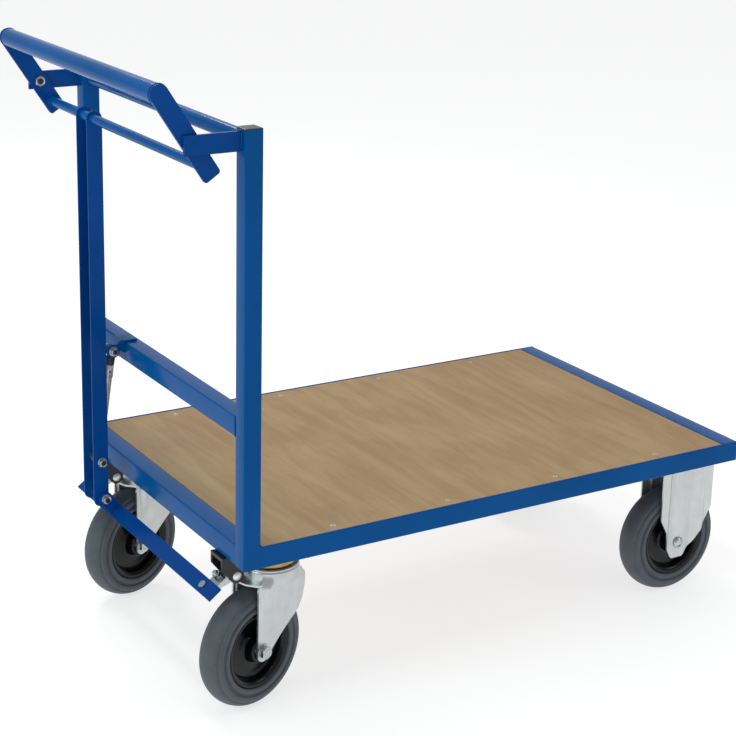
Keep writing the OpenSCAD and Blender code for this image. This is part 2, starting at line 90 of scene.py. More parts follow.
floor_half = 14.0
floor_mesh = bpy.data.meshes.new("studio_floor")
floor_mesh.from_pydata([(x * floor_half, y * floor_half, -0.0004) for x, y in
                        ((-1, -1), (1, -1), (1, 1), (-1, 1))], [], [(0, 1, 2, 3)])
floor = bpy.data.objects.new("studio_floor", floor_mesh)
bpy.context.scene.collection.objects.link(floor)
acrylic, acrylic_tree, acrylic_shader = new_material("white_acrylic")
acrylic_grain = add(acrylic_tree, "ShaderNodeTexNoise", {"Scale": 900.0, "Detail": 3.0},
                  {"Vector": add(acrylic_tree, "ShaderNodeTexCoord").outputs["Object"]})
acrylic_tree.links.new(blend_colours(acrylic_tree, acrylic_grain.outputs["Fac"],
                                   [(0.3, "#b8b8b8"), (0.7, "#bcbcbc")]), acrylic_shader.inputs["Base Color"])
acrylic_shader.inputs["Roughness"].default_value = 0.9
acrylic_shader.inputs["Specular IOR Level"].default_value = 0.1
# Lit from below like a light table, so that it stays white and shadows stay faint
acrylic_shader.inputs["Emission Color"].default_value = linear("#ffffff")
acrylic_shader.inputs["Emission Strength"].default_value = 0.68
floor_mesh.materials.append(acrylic)

world = bpy.data.worlds.new("studio")
bpy.context.scene.world = world
world.use_nodes = True
world.node_tree.nodes["Background"].inputs["Color"].default_value = linear("#fcfdff")
# White ahead of the lens; duller behind and beside it, which gives painted and plated faces their depth
ahead = add(world.node_tree, "ShaderNodeVectorMath", {1: (0.53, 0.85, 0.0)},
            {0: add(world.node_tree, "ShaderNodeTexCoord").outputs["Generated"]}, operation="DOT_PRODUCT")
room_level = add(world.node_tree, "ShaderNodeMapRange",
                 {"From Min": 0.45, "From Max": 0.9, "To Min": 0.42, "To Max": 1.0}, {"Value": ahead.outputs["Value"]})
world.node_tree.links.new(room_level.outputs["Result"], world.node_tree.nodes["Background"].inputs["Strength"])

# Area lights: name, place in metres, aim, width, height, watts, colour
for name, place, aim, width, height, watts, colour in (
        ("overhead_strip", (-0.9, 0.0, 3.0), (-0.3, 0, 0.6), 3.4, 0.35, 22, "#ffffff"),
        ("far_softbox", (0.3, 3.2, 3.2), (-0.1, 0, 0.6), 0.7, 0.7, 30, "#ffffff"),
        ("handle_side_panel", (-3.2, -0.5, 1.9), (0, 0, 0.5), 1.8, 1.8, 28, "#dcfff2"),
        ("front_fill", (2.6, -2.4, 2.4), (0.2, 0, 0.3), 1.4, 0.6, 10, "#fffaf4")):
    lamp = bpy.data.lights.new(name, "AREA")
    lamp.shape = "RECTANGLE"
    lamp.size, lamp.size_y = width, height
    lamp.energy = watts
    lamp.color = linear(colour)[:3]
    holder = bpy.data.objects.new(name, lamp)
    holder.location = place
    to_aim = np.array(aim) - np.array(place)
    flat = math.hypot(to_aim[0], to_aim[1])
    holder.rotation_euler = (math.atan2(flat, -to_aim[2]), 0, math.atan2(to_aim[0], to_aim[1]) * -1)
    bpy.context.scene.collection.objects.link(holder)

camera = bpy.data.cameras.new("camera")
camera.sensor_width = 36.0
camera.lens = 89.3
camera.shift_x = 0.03
camera.shift_y = -0.1
camera_heading = math.radians(31.02)
camera_down = math.radians(16.42)
camera_roll = math.radians(1.18)
viewer = bpy.data.objects.new("camera", camera)
viewer.location = (-1.6407, -2.5944, 1.4734)
viewer.rotation_mode = "XYZ"
viewer.rotation_euler = (Matrix.Rotation(-camera_heading, 3, "Z") @ Matrix.Rotation(math.pi / 2 - camera_down, 3, "X")
                         @ Matrix.Rotation(camera_roll, 3, "Z")).to_euler("XYZ")
bpy.context.scene.collection.objects.link(viewer)
bpy.context.scene.camera = viewer
bpy.context.scene.view_settings.view_transform = "Standard"

# ---- Powder-coated steelwork: posts, rails, cross member and top tube ----
# Square and round mild-steel tube and one angle section, cut square, MIG welded and
# powder coated in blue: drawn corners of about 2.5 mm, with a bead round the cross member's and the top tube's ends.
millimetre = 0.001
steel_wall = 2.0
# Tube ends stop this far short of what they are welded to, so that no two faces lie flush
end_gap = 0.02
merge_distance, sliver = 2e-6, 1e-7
corner_radius = 2.6


def powder_coated(name, thin, thick, ripple):
    """Gloss polyester powder: an orange-peel ripple of about 1.5 mm that softens reflections,
    and a film that is slightly thicker in some places than in others."""
    material, tree, shader = new_material(name)
    place = add(tree, "ShaderNodeTexCoord").outputs["Object"]
    cloud = add(tree, "ShaderNodeTexNoise", {"Scale": 5.0, "Detail": 2.0}, {"Vector": place})
    peel = add(tree, "ShaderNodeTexNoise", {"Scale": 650.0, "Detail": 1.0}, {"Vector": place})
    dust = add(tree, "ShaderNodeTexNoise", {"Scale": 60.0, "Detail": 6.0, "Roughness": 0.7}, {"Vector": place})
    tree.links.new(blend_colours(tree, cloud.outputs["Fac"], [(0.35, thin), (0.65, thick)]),
                   shader.inputs["Base Color"])
    rough = add(tree, "ShaderNodeMapRange", {"To Min": 0.13, "To Max": 0.21}, {"Value": dust.outputs["Fac"]})
    tree.links.new(rough.outputs["Result"], shader.inputs["Roughness"])
    bump = add(tree, "ShaderNodeBump", {"Strength": ripple, "Distance": 0.0003}, {"Height": peel.outputs["Fac"]})
    tree.links.new(bump.outputs["Normal"], shader.inputs["Normal"])
    shader.inputs["Specular IOR Level"].default_value = 0.06
    return material


# Gives the welded frame its mid blue with a soft, slightly rippled gloss
powder_coat = powder_coated("powder_coated_steel", "#014d8c", "#025296", 0.1)


def node_box(name):
    """A CAD node's low and high corners at rest, in millimetres."""
    low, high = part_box(name)
    return np.array(low) / millimetre, np.array(high) / millimetre


def centre_of(name):
    """The middle of a CAD node's box at rest, in millimetres."""
    low, high = node_box(name)
    return (low + high) / 2


def piece(name, grids, material, body, nodes=(), bevel=0.0, sharp=38.0):
    """One mesh from grids of points in millimetres, shaped (rows, columns, 3). Each grid's rows are
    joined into quads, and its columns run round a closed ring. Coincident points are merged, any
    open end is filled, and the faces are then turned outwards."""
    points, quads, start = [], [], 0
    for grid in grids:
        rows, columns = grid.shape[:2]
        index = start + np.arange(rows * columns).reshape(rows, columns)
        after = np.roll(index, -1, axis=1)
        quads.append(np.stack([index[:-1], after[:-1], after[1:], index[1:]], axis=-1).reshape(-1, 4))
        points.append(grid.reshape(-1, 3))
        start += rows * columns
    mesh = bpy.data.meshes.new(name)
    mesh.from_pydata((np.concatenate(points) * millimetre).tolist(), [], np.concatenate(quads).tolist())
    shell = bmesh.new()
    shell.from_mesh(mesh)
    bmesh.ops.remove_doubles(shell, verts=shell.verts, dist=merge_distance)
    bmesh.ops.dissolve_degenerate(shell, edges=shell.edges, dist=sliver)
    bmesh.ops.holes_fill(shell, edges=shell.edges, sides=0)
    return settle(name, mesh, shell, material, body, nodes, bevel, sharp)


def settle(name, mesh, shell, material, body, nodes, bevel, sharp):
    """Makes the shell an object with its material, soft edges, body and CAD nodes."""
    bmesh.ops.recalc_face_normals(shell, faces=shell.faces)
    shell.to_mesh(mesh)
    shell.free()
    mesh.materials.clear()
    mesh.materials.append(material)
    mesh.polygons.foreach_set("use_smooth", [True] * len(mesh.polygons))
    mesh.set_sharp_from_angle(angle=math.radians(sharp))
    made = bpy.data.objects.new(name, mesh)
    bpy.context.scene.collection.objects.link(made)
    if bevel:
        edge = made.modifiers.new("edge", "BEVEL")
        edge.width = bevel * millimetre
        edge.segments = 2
        edge.limit_method = "ANGLE"
        edge.angle_limit = math.radians(40)
        edge.harden_normals = True
    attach(made, body)
    if nodes:
        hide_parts(*nodes)
    return made


def eased(node, material, body, bevel, sharp=30.0):
    """A merged copy of a CAD node with its flats joined up and its cut edges bevelled."""
    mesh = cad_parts[node].data.copy()
    shell = bmesh.new()
    shell.from_mesh(mesh)
    bmesh.ops.remove_doubles(shell, verts=shell.verts, dist=merge_distance)
    bmesh.ops.dissolve_limit(shell, angle_limit=math.radians(0.6), verts=shell.verts, edges=shell.edges)
    return settle(node + "_finished", mesh, shell, material, body, [node], bevel, sharp)


def arc(centre, radius, start, sweep, steps=6):
    """Points on a circle's arc: centre + radius (cos t, sin t), with t in degrees."""
    turns = np.radians(np.linspace(start, start + sweep, steps))
    return np.stack([centre[0] + radius * np.cos(turns), centre[1] + radius * np.sin(turns)], axis=-1)


def rounded_box(width, height, radius):
    """Outline of a rectangle centred on zero, with quarter circles of the radius at its corners."""
    x, y = width / 2 - radius, height / 2 - radius
    return np.concatenate([arc(corner, radius, start, 90)
                           for corner, start in (((x, y), 0), ((-x, y), 90), ((-x, -y), 180), ((x, -y), 270))])


def ring(radius, steps=64):
    """Outline of a circle centred on zero."""
    return arc((0, 0), radius, 0, 360 - 360 / steps, steps)


def unit(vector):
    """The vector over its length."""
    vector = np.asarray(vector, float)
    return vector / np.linalg.norm(vector)


def carry(outlines, places, origin, along, side):
    """Outlines carried along a straight line: outline i stands at origin + place i times along, its
    first coordinate on side and its second on along x side."""
    along, side = unit(along), unit(side)
    up = np.cross(along, side)
    rows = [np.asarray(origin, float) + place * along + outline[:, :1] * side + outline[:, 1:] * up
            for outline, place in zip(outlines, places)]
    return np.stack(rows)


def hollow(outline, inner, length, origin, along, side, lip):
    """A hollow section with eased ends: outside, end face, inside and back to the start."""
    ease = 1 - lip / np.abs(outline).max()
    outlines = [outline * ease, outline, outline, outline * ease, inner, inner, outline * ease]
    return carry(outlines, [0, lip, length - lip, length, length, 0, 0], origin, along, side)


def weld(path, radius, pitch=3.2):
    """A weld bead along a path of points: a circle carried along it, its radius rippled by an eighth
    once a pitch and falling to nothing at both ends: r (1 + sin(2 pi s / pitch) / 8) (1 - e^12)^(1/2),
    where s is the distance run and e goes from -1 to 1."""
    path = np.asarray(path, float)
    run = np.concatenate([[0], np.cumsum(np.linalg.norm(np.diff(path, axis=0), axis=1))])
    step = 0.6
    path = np.stack([np.interp(np.arange(0, run[-1], step), run, path[:, i]) for i in range(3)], axis=-1)
    along = np.gradient(path, axis=0)
    along /= np.linalg.norm(along, axis=1)[:, None]
    side = np.cross(along, (0.31, 0.52, 0.79))
    side /= np.linalg.norm(side, axis=1)[:, None]
    over = np.cross(along, side)
    reach = np.linspace(-1, 1, len(path))
    size = radius * (1 + np.sin(2 * math.pi * step * np.arange(len(path)) / pitch) / 8) * np.sqrt(1 - reach ** 12)
    turns = np.linspace(0, 2 * math.pi, 12, endpoint=False)[None, :, None]
    return path[:, None] + size[:, None, None] * (np.cos(turns) * side[:, None] + np.sin(turns) * over[:, None])


def looped(outline, fixed_axis, value):
    """A closed outline as points in space, with the given axis held at the value."""
    closed = np.concatenate([outline, outline[:1]])
    return np.insert(closed, fixed_axis, value, axis=1)


UP, FORWARD, LEFT = np.eye(3)[2], np.eye(3)[0], np.eye(3)[1]
post_low, post_high = node_box("post_right")
post_width = post_high[0] - post_low[0]
rear_face = post_low[0]
for name in ("post_left", "post_right"):
    low, high = node_box(name)
    middle = [*((low + high) / 2)[:2], low[2]]
    piece(name + "_tube", [hollow(rounded_box(post_width, post_width, corner_radius),
                                  rounded_box(post_width - 2 * steel_wall, post_width - 2 * steel_wall, 0.8),
                                  high[2] - low[2], middle, UP, FORWARD, 0.4)],
          powder_coat, "frame", [name])

for node, radius in (("cross_member", corner_radius), ("end_rail_rear", corner_radius), ("end_rail_front", 2.0)):
    low, high = node_box(node)
    width, height = high[0] - low[0], high[2] - low[2]
    outline = rounded_box(width, height, radius)
    if node == "end_rail_rear":
        # The ground-flush weld fills the groove at each post's rounded corner
        low[1], high[1] = low[1] - corner_radius, high[1] + corner_radius
    middle = [(low[0] + high[0]) / 2, low[1] + end_gap, (low[2] + high[2]) / 2]
    grids = [hollow(outline, rounded_box(width - 2 * steel_wall, height - 2 * steel_wall, 0.6),
                    high[1] - low[1] - 2 * end_gap, middle, LEFT, -FORWARD, 0.05)]
    if node == "cross_member":
        for y in (low[1] + 0.4, high[1] - 0.4):
            grids.append(weld(looped(outline + (middle[0], middle[2]), 1, y), 1.4))
    piece(node + "_tube", grids, powder_coat, "frame", [node])

tube_low, tube_high = node_box("top_tube")
top_radius = (tube_high[2] - tube_low[2]) / 2
top_middle = np.array([(tube_low[0] + tube_high[0]) / 2, tube_low[1], (tube_low[2] + tube_high[2]) / 2])
grids = [hollow(ring(top_radius), ring(top_radius - steel_wall), tube_high[1] - tube_low[1], top_middle,
                LEFT, FORWARD, 0.05)]
for y in (tube_low[1] + 0.6, tube_high[1] - 0.6):
    grids.append(weld(looped(ring(top_radius) + top_middle[[0, 2]], 1, y), 1.8))
piece("top_tube_bar", grids, powder_coat, "frame", ["top_tube"])

# The side rails are 36 x 36 x 4 mm hot-rolled angle, heel outwards and toe under the board,
# with a tight heel corner, a root fillet and rounded toes.
for side, node in ((1, "side_rail_left"), (-1, "side_rail_right")):
    low, high = node_box(node)
    wide, tall, leg = high[1] - low[1], high[2] - low[2], 4.0
    section = np.concatenate([arc((1.6, 1.6), 1.6, 180, 90), arc((wide - 1.6, 1.6), 1.6, 270, 90),
                              arc((wide - 1.6, leg - 1.6), 1.6, 0, 90), arc((leg + 4, leg + 4), 4, 270, -90),
                              arc((leg - 1.6, tall - 1.6), 1.6, 0, 90), arc((1.2, tall - 1.2), 1.2, 90, 90)])
    # The lower leg starts behind the rear rail, the upright leg at the post
    cope = np.where(section[:, 0] > leg + 0.5, node_box("end_rail_rear")[1][0] + end_gap, low[0] - corner_radius)
    rows = []
    for x in (cope, np.full(len(section), high[0])):
        heel = high[1] - section[:, 0] if side > 0 else low[1] + section[:, 0]
        rows.append(np.stack([x, heel, low[2] + section[:, 1]], axis=-1))
    piece(node + "_angle", [np.stack(rows)], powder_coat, "frame", [node], bevel=0.5)

for node in ("corner_gussets", "cross_bearers"):
    eased(node, powder_coat, "frame", 0.5)

# ---- Post caps ----
# Square polyamide push-in caps with a slightly domed top, closing the open end of each post.
def mottled(name, scale, detail, stops, rough, metallic=0.0, relief=0.0, stretch=None):
    """A finish led by one noise on Object coordinates, drawn out by stretch: it blends the colour stops, and
    spreads the roughness where rough is a pair. Relief is its strength as a bump 0.2 mm deep."""
    material, tree, shader = new_material(name)
    place = add(tree, "ShaderNodeTexCoord").outputs["Object"]
    if stretch:
        place = add(tree, "ShaderNodeMapping", {"Scale": stretch}, {"Vector": place}).outputs["Vector"]
    noise = add(tree, "ShaderNodeTexNoise", {"Scale": scale, "Detail": detail}, {"Vector": place}).outputs["Fac"]
    tree.links.new(blend_colours(tree, noise, stops), shader.inputs["Base Color"])
    if isinstance(rough, tuple):
        spread = add(tree, "ShaderNodeMapRange", {"To Min": rough[0], "To Max": rough[1]}, {"Value": noise})
        tree.links.new(spread.outputs["Result"], shader.inputs["Roughness"])
    else:
        shader.inputs["Roughness"].default_value = rough
    if relief:
        bump = add(tree, "ShaderNodeBump", {"Strength": relief, "Distance": 0.0002}, {"Height": noise})
        tree.links.new(bump.outputs["Normal"], shader.inputs["Normal"])
    shader.inputs["Metallic"].default_value = metallic
    return material


# The dark grey-black, with a spark-eroded mould grain of about 0.8 mm that breaks up the highlight
black_plastic = mottled("moulded_black_polyamide", 1100.0, 2.0, [(0.3, "#1c1b1c"), (0.7, "#262425")], 0.42, relief=0.3)

cap_low, cap_high = node_box("post_caps")
grids = []
for side in (-1, 1):
    centre = [(cap_low[0] + cap_high[0]) / 2, side * (cap_high[1] - post_width / 2), 0]
    rim = rounded_box(cap_high[0] - cap_low[0], cap_high[0] - cap_low[0], 3.0)
    plug = rounded_box(post_width - 2 * steel_wall - 0.1, post_width - 2 * steel_wall - 0.1, 1.0)
    top = cap_high[2]
    outlines = [plug * 0, plug * 0.97, plug, plug, rim * 0.995, rim, rim * 0.985, rim * 0.93, rim * 0.6, rim * 0]
    grids.append(carry(outlines,
                       [cap_low[2], cap_low[2], cap_low[2] + 1, top - 2, top - 2, top - 1.3, top - 0.5,
                        top - 0.12, top - 0.02, top], centre, UP, FORWARD))
piece("post_end_caps", grids, black_plastic, "frame", ["post_caps"])

# ---- Deck board ----
# One 15 mm board with a smooth beech-decor face, set flush in the rails and screwed down.
# The warm tan face: faint grain along Y, broad cloudy blotches and short darker pores, under satin lacquer
wood, wood_tree, wood_shader = new_material("beech_decor_board")
grain_turn = math.radians(7)
wood_place = add(wood_tree, "ShaderNodeTexCoord").outputs["Object"]
wood_stretch = add(wood_tree, "ShaderNodeMapping", {"Scale": (42.0, 5.0, 42.0), "Rotation": (0, 0, grain_turn)},
                   {"Vector": wood_place})
wood_blotch = add(wood_tree, "ShaderNodeTexNoise", {"Scale": 1.0, "Detail": 5.0, "Roughness": 0.55, "Distortion": 0.6},
                  {"Vector": wood_stretch.outputs["Vector"]})
wood_cloud = add(wood_tree, "ShaderNodeTexNoise", {"Scale": 4.5, "Detail": 3.0, "Distortion": 0.8},
                 {"Vector": wood_place})
wood_lines = add(wood_tree, "ShaderNodeMapping", {"Scale": (600.0, 30.0, 600.0), "Rotation": (0, 0, grain_turn)},
                 {"Vector": wood_place})
wood_pores = add(wood_tree, "ShaderNodeTexNoise", {"Scale": 1.0, "Detail": 2.0},
                 {"Vector": wood_lines.outputs["Vector"]})
wood_mix = add(wood_tree, "ShaderNodeMix", {"Factor": 0.45}, {"A": wood_blotch.outputs["Fac"],
                                                             "B": wood_cloud.outputs["Fac"]}, data_type="FLOAT")
wood_base = blend_colours(wood_tree, wood_mix.outputs["Result"],
                          [(0.34, "#9f8056"), (0.46, "#a88860"), (0.54, "#ae9067"), (0.68, "#b69972")])
wood_fleck = add(wood_tree, "ShaderNodeMapRange", {"From Min": 0.56, "From Max": 0.72, "To Max": 0.35},
                 {"Value": wood_pores.outputs["Fac"]})
wood_tint = add(wood_tree, "ShaderNodeMix", {7: linear("#886b45")}, {0: wood_fleck.outputs["Result"], 6: wood_base},
                data_type="RGBA")
wood_tree.links.new(wood_tint.outputs[2], wood_shader.inputs["Base Color"])
wood_bump = add(wood_tree, "ShaderNodeBump", {"Strength": 0.08, "Distance": 0.0002},
                {"Height": wood_pores.outputs["Fac"]})
wood_tree.links.new(wood_bump.outputs["Normal"], wood_shader.inputs["Normal"])
wood_rough = add(wood_tree, "ShaderNodeMapRange", {"To Min": 0.45, "To Max": 0.6}, {"Value": wood_cloud.outputs["Fac"]})
wood_tree.links.new(wood_rough.outputs["Result"], wood_shader.inputs["Roughness"])
wood_shader.inputs["Specular IOR Level"].default_value = 0.16
eased("deck_board", wood, "frame", 0.5)

# ---- Deck screws ----
# Countersunk hexagon-socket screws, zinc plated, just below the board's face.
# Bright blue-white zinc: a fine crystalline mottle and a slight brushed unevenness in its gloss
bright_zinc = mottled("bright_zinc_plating", 420.0, 3.0, [(0.3, "#a5adaf"), (0.7, "#ccd2d3")], (0.2, 0.36), 1.0, 0.05)
eased("board_screws", bright_zinc, "frame", 0.2)

# ---- Handle brackets ----
# A 30 x 5 mm flat bar welded to the back of each post, with a bead down both sides and a small
# plug weld, carrying the flush pivot stud that the hand lever turns on.
# Darker, bluer coat of the flat bars and the channel, which are coated as a separate batch
navy_coat = powder_coated("powder_coated_flat_bar", "#05438a", "#074793", 0.12)


def turned(profile, origin, axis, side, steps=64):
    """A surface of revolution: profile points are (radius, height), and each goes round the axis as
    origin + height axis + radius (cos t side + sin t axis x side)."""
    profile, axis, side = np.asarray(profile, float), unit(axis), unit(side)
    over = np.cross(axis, side)
    turns = np.linspace(0, 2 * math.pi, steps, endpoint=False)
    spokes = np.cos(turns)[:, None] * side + np.sin(turns)[:, None] * over
    return np.asarray(origin, float) + profile[:, 1, None, None] * axis + profile[:, 0, None, None] * spokes


def rod(radius, start, end, origin, axis, side, steps):
    """A round bar between two heights on the axis."""
    return turned([(0, start), (radius, start), (radius, end), (0, end)], origin, axis, side, steps)


def bush(bore, radius, start, end, origin, axis, side, steps):
    """A plain sleeve between two heights on the axis."""
    profile = [(bore, start), (radius, start), (radius, end), (bore, end), (bore, start)]
    return turned(profile, origin, axis, side, steps)


def hexagon(radius, height, origin, axis, side, bore=0.0):
    """A hexagon nut or head with its top corners cut by a 30 degree cone. Round the axis the flats lie
    at radius cos 30 / cos(t mod 60 - 30), and the side stops at height - (that - flat radius) tan 30."""
    axis, side = unit(axis), unit(side)
    over = np.cross(axis, side)
    turns = np.linspace(0, 2 * math.pi, 96, endpoint=False)
    flat = radius * math.cos(math.pi / 6)
    reach = flat / np.cos(turns % (math.pi / 3) - math.pi / 6)
    crest = height - (reach - flat) * math.tan(math.pi / 6) - 0.15
    level = np.ones_like(turns)
    rows = [(level * bore, 0 * level), (reach - 0.3, 0 * level), (reach, 0.3 * level), (reach, crest),
            (level * (flat - 0.4), height * level), (level * (bore + 0.3), height * level),
            (level * bore, (height - 0.3) * level), (level * bore, 0 * level)]
    return np.stack([origin + tall[:, None] * axis + (wide * np.cos(turns))[:, None] * side
                     + (wide * np.sin(turns))[:, None] * over for wide, tall in rows])


def threaded(radius, length, origin, axis, side, pitch=1.5):
    """A screw thread's end: radius - 0.45 w(height / pitch - t / 2 pi), where w is a triangle wave from
    0 to 1, closed by a chamfered tip."""
    axis, side = unit(axis), unit(side)
    over = np.cross(axis, side)
    turns = np.linspace(0, 2 * math.pi, 32, endpoint=False)
    heights = np.arange(0, length, pitch / 6)
    wave = np.abs(((heights[:, None] / pitch - turns / (2 * math.pi)) % 1) * 2 - 1)
    wide = np.minimum(radius - 0.45 * wave, radius - 0.6 * np.clip(heights - length + 0.9, 0, 1)[:, None])
    wide = np.concatenate([np.zeros((1, 32)), wide, np.full((1, 32), radius - 1.0), np.zeros((1, 32))])
    tall = np.concatenate([[0], heights, [length, length]])
    return (origin + tall[:, None, None] * axis + (wide * np.cos(turns))[..., None] * side
            + (wide * np.sin(turns))[..., None] * over)


# Oiled bare steel on the cut ends of bolts: dark, with brighter crests
bare_steel = mottled("oiled_bolt_end", 900.0, 2.0, [(0.35, "#1f2022"), (0.75, "#55585b")], 0.35, 0.8)


def domed(radius, height, origin, axis, side, steps=48):
    """A domed head: a short upright edge, then a cap of a sphere through the given height."""
    ball = (radius ** 2 + height ** 2) / (2 * height)
    slope = np.linspace(math.asin(min(1, radius / ball)), 0, 9)
    cap = np.stack([ball * np.sin(slope), height - ball * (1 - np.cos(slope))], axis=-1)
    return turned(np.concatenate([[(0, 0), (radius - 0.2, 0)], cap]), origin, axis, side, steps)


eased("handle_brackets", navy_coat, "frame", 0.6)
bracket_low, bracket_high = node_box("handle_brackets")
bracket_z = (bracket_low[2] + bracket_high[2]) / 2
grids = []
for side in (-1, 1):
    for y in (bracket_high[1] + 0.8, bracket_high[1] - 5.8):
        path = [(rear_face - 0.6, side * y, bracket_low[2] + 0.5), (rear_face - 0.6, side * y, bracket_high[2] - 0.5)]
        grids.append(weld(path, 2.2))
    grids.append(domed(2.6, 0.7, (rear_face - 8, side * (bracket_high[1] - 5), bracket_z + 7), (0, -side, 0), UP, 24))
piece("bracket_welds", grids, navy_coat, "frame")

pivot_x, _, pivot_z = centre_of("handle_pivot_bolts")
stud_radius, stud_nut = 5.0, 9.25
lever_box = node_box("lever_left")
nut_face = lever_box[0][1] - 0.3
nuts, ends = [], []
for side in (-1, 1):
    outward, at = np.array([0.0, side, 0.0]), np.array([pivot_x, side * nut_face, pivot_z])
    nuts += [hexagon(stud_nut, 8.0, at, -outward, UP, stud_radius - 0.1),
             rod(stud_radius, -1, 10.0, at, outward, UP, 40)]
    ends.append(threaded(stud_radius, 11.0, at, -outward, UP))
piece("handle_pivot_nuts", nuts, bright_zinc, "frame", ["handle_pivot_bolts"])
piece("handle_stud_threads", ends, bare_steel, "frame")
grids = [domed(stud_radius + 1.2, 0.6, (pivot_x, side * bracket_high[1], pivot_z), (0, side, 0), UP, 32)
         for side in (-1, 1)]
piece("handle_stud_ends", grids, navy_coat, "frame")

# ---- Handle: push bar, hand levers and lift bar ----
# Two flat-bar levers, round at the top and square at the foot, welded to a 30 mm push tube and a
# 16 mm lift bar, so the whole frame rocks on the pivot studs.
grip_low, grip_high = node_box("push_bar")
grip = centre_of("push_bar") * (1, 0, 1)
grip_radius = (grip_high[2] - grip_low[2]) / 2
lift_low, lift_high = node_box("lift_bar")
lift = centre_of("lift_bar") * (1, 0, 1)
lift_radius = (lift_high[2] - lift_low[2]) / 2
tube = hollow(ring(grip_radius, 96), ring(grip_radius - steel_wall, 96), grip_high[1] - grip_low[1] - end_gap,
              grip + (0, grip_low[1] + end_gap / 2, 0), LEFT, FORWARD, 0.3)
piece("push_bar_tube", [tube], powder_coat, "handle", ["push_bar"])
lift_length = lift_high[1] - lift_low[1]
lift_profile = [(0, 0), (lift_radius - 0.3, 0), (lift_radius, 0.3), (lift_radius, lift_length - 0.3),
                (lift_radius - 0.3, lift_length), (0, lift_length)]
piece("lift_bar_rod", [turned(lift_profile, lift + (0, lift_low[1], 0), LEFT, FORWARD, 64)],
      powder_coat, "handle", ["lift_bar"])
for node in ("lever_left", "lever_right"):
    eased(node, navy_coat, "handle", 0.7)
grids = []
for side in (-1, 1):
    y = side * (lever_box[0][1] - 0.5)
    grids.append(weld(looped(ring(grip_radius, 48) * 0.985 + grip[[0, 2]], 1, y), 1.3))
    grids.append(weld(looped(ring(lift_radius, 40) * 1.03 + lift[[0, 2]], 1, y), 1.5))
piece("handle_welds", grids, navy_coat, "handle")

# ---- Castor plates of the two braked swivel castors ----
# Black-coated 6 mm pressed plates with two ears at the back that carry the brake lever's rivet.
# Thin black cathodic coat over steel: low gloss, faintly brown, with fine dust in it
black_steel = mottled("black_dip_coated_steel", 180.0, 4.0, [(0.3, "#0a0708"), (0.7, "#120d0e")], (0.3, 0.48))
for node in ("castor_base_left", "castor_base_right"):
    eased(node, black_steel, "frame", 0.8)

# The domed rivet heads on the ears, left white-bright by their passivation: a pale, fine-grained dome
rivet_white = mottled("passivated_rivet", 500.0, 3.0, [(0.3, "#dcdfdf"), (0.7, "#f4f6f6")], 0.38, 0.75)
rivet_x, _, rivet_z = centre_of("lug_rivets")
swivel_y = centre_of("castor_base_left")[1]
rivet_head = node_box("lug_rivets")[1][1] - swivel_y
grids = []
for side in (-1, 1):
    for out in (-1, 1):
        at = np.array([rivet_x, side * swivel_y + out * (rivet_head - 2.5), rivet_z])
        grids.append(domed(7.5, 2.5, at, (0, out, 0), UP))
    start = (rivet_x, side * swivel_y - rivet_head + 2.5, rivet_z)
    grids.append(rod(4, 0, 2 * rivet_head - 5, start, LEFT, UP, 32))
piece("lug_rivet_heads", grids, rivet_white, "frame", ["lug_rivets"])

# ---- Swivel heads: ball race and kingpin ----
# A pressed race cup, yellow chromated, over the fork's crown, and the riveted kingpin inside.
# Yellow chromate: gold with a faint green-pink iridescence that drifts over the surface
yellow_zinc = mottled("yellow_chromated_zinc", 60.0, 3.0, [(0.3, "#a9883a"), (0.5, "#c2a052"), (0.7, "#b9a45e")],
                      (0.28, 0.42), 0.85)


def chaikin(points, passes=2):
    """Corner cutting: each pass replaces every corner with points a quarter and three quarters along."""
    points = np.asarray(points, float)
    for _ in range(passes):
        after = np.roll(points, -1, axis=0)
        cut = np.stack([0.75 * points + 0.25 * after, 0.25 * points + 0.75 * after], axis=1)
        points = cut.reshape(-1, points.shape[1])
    return np.concatenate([points, points[:1]])


race_low, race_high = node_box("bearing_races")
swivel_x = centre_of("bearing_races")[0]
race_section = chaikin([(42.1, 246.9), (30, 246.9), (30, 238.8), (38, 238.8), (42.2, 238.8), (44.0, 240.0), (44.5, 243),
                        (44.5, 252), (43.8, 256.5), (42.9, 258.6), (42.1, 258.6)])
race_radius = (race_high[0] - race_low[0]) / 2
race_section = race_section * (race_radius / race_section[:, 0].max(), 1)
grids = [turned(race_section, (swivel_x, side * swivel_y, 0), UP, FORWARD, 96) for side in (-1, 1)]
piece("race_cups", grids, yellow_zinc, "frame", ["bearing_races"])
eased("kingpins", bright_zinc, "frame", 0.4)

# ---- Castor fixings ----
# M10 hexagon bolts up through the castor plates, with nuts above the frame.
low, high = node_box("castor_fixings")
front_low, front_high = node_box("fixed_plates")
plate_x, plate_y = (front_low[0] + front_high[0]) / 2, front_high[1] - 55
bolt_radius, bolt_hexagon = 5.0, 9.2
bolt_places = [(swivel_x + x, side * (swivel_y + y)) for x in (-44, 44) for y in (-37, 37) for side in (-1, 1)]
bolt_places += [(plate_x + x, side * (plate_y + y)) for x in (-47, 10) for y in (-40.5, 40.5) for side in (-1, 1)]
grids = []
for x, y in bolt_places:
    grids += [hexagon(bolt_hexagon, 6.4, np.array([x, y, low[2] + 6.4]), -UP, FORWARD),
              rod(bolt_radius, 0, high[2] - low[2] - 12, (x, y, low[2] + 6), UP, FORWARD, 24),
              hexagon(bolt_hexagon, 8.0, np.array([x, y, high[2] - 8.0]), UP, FORWARD, bolt_radius - 0.1),
              threaded(bolt_radius, 9.0, np.array([x, y, high[2] - 9.0]), UP, FORWARD)]
piece("castor_bolts", grids, bright_zinc, "frame", ["castor_fixings"])

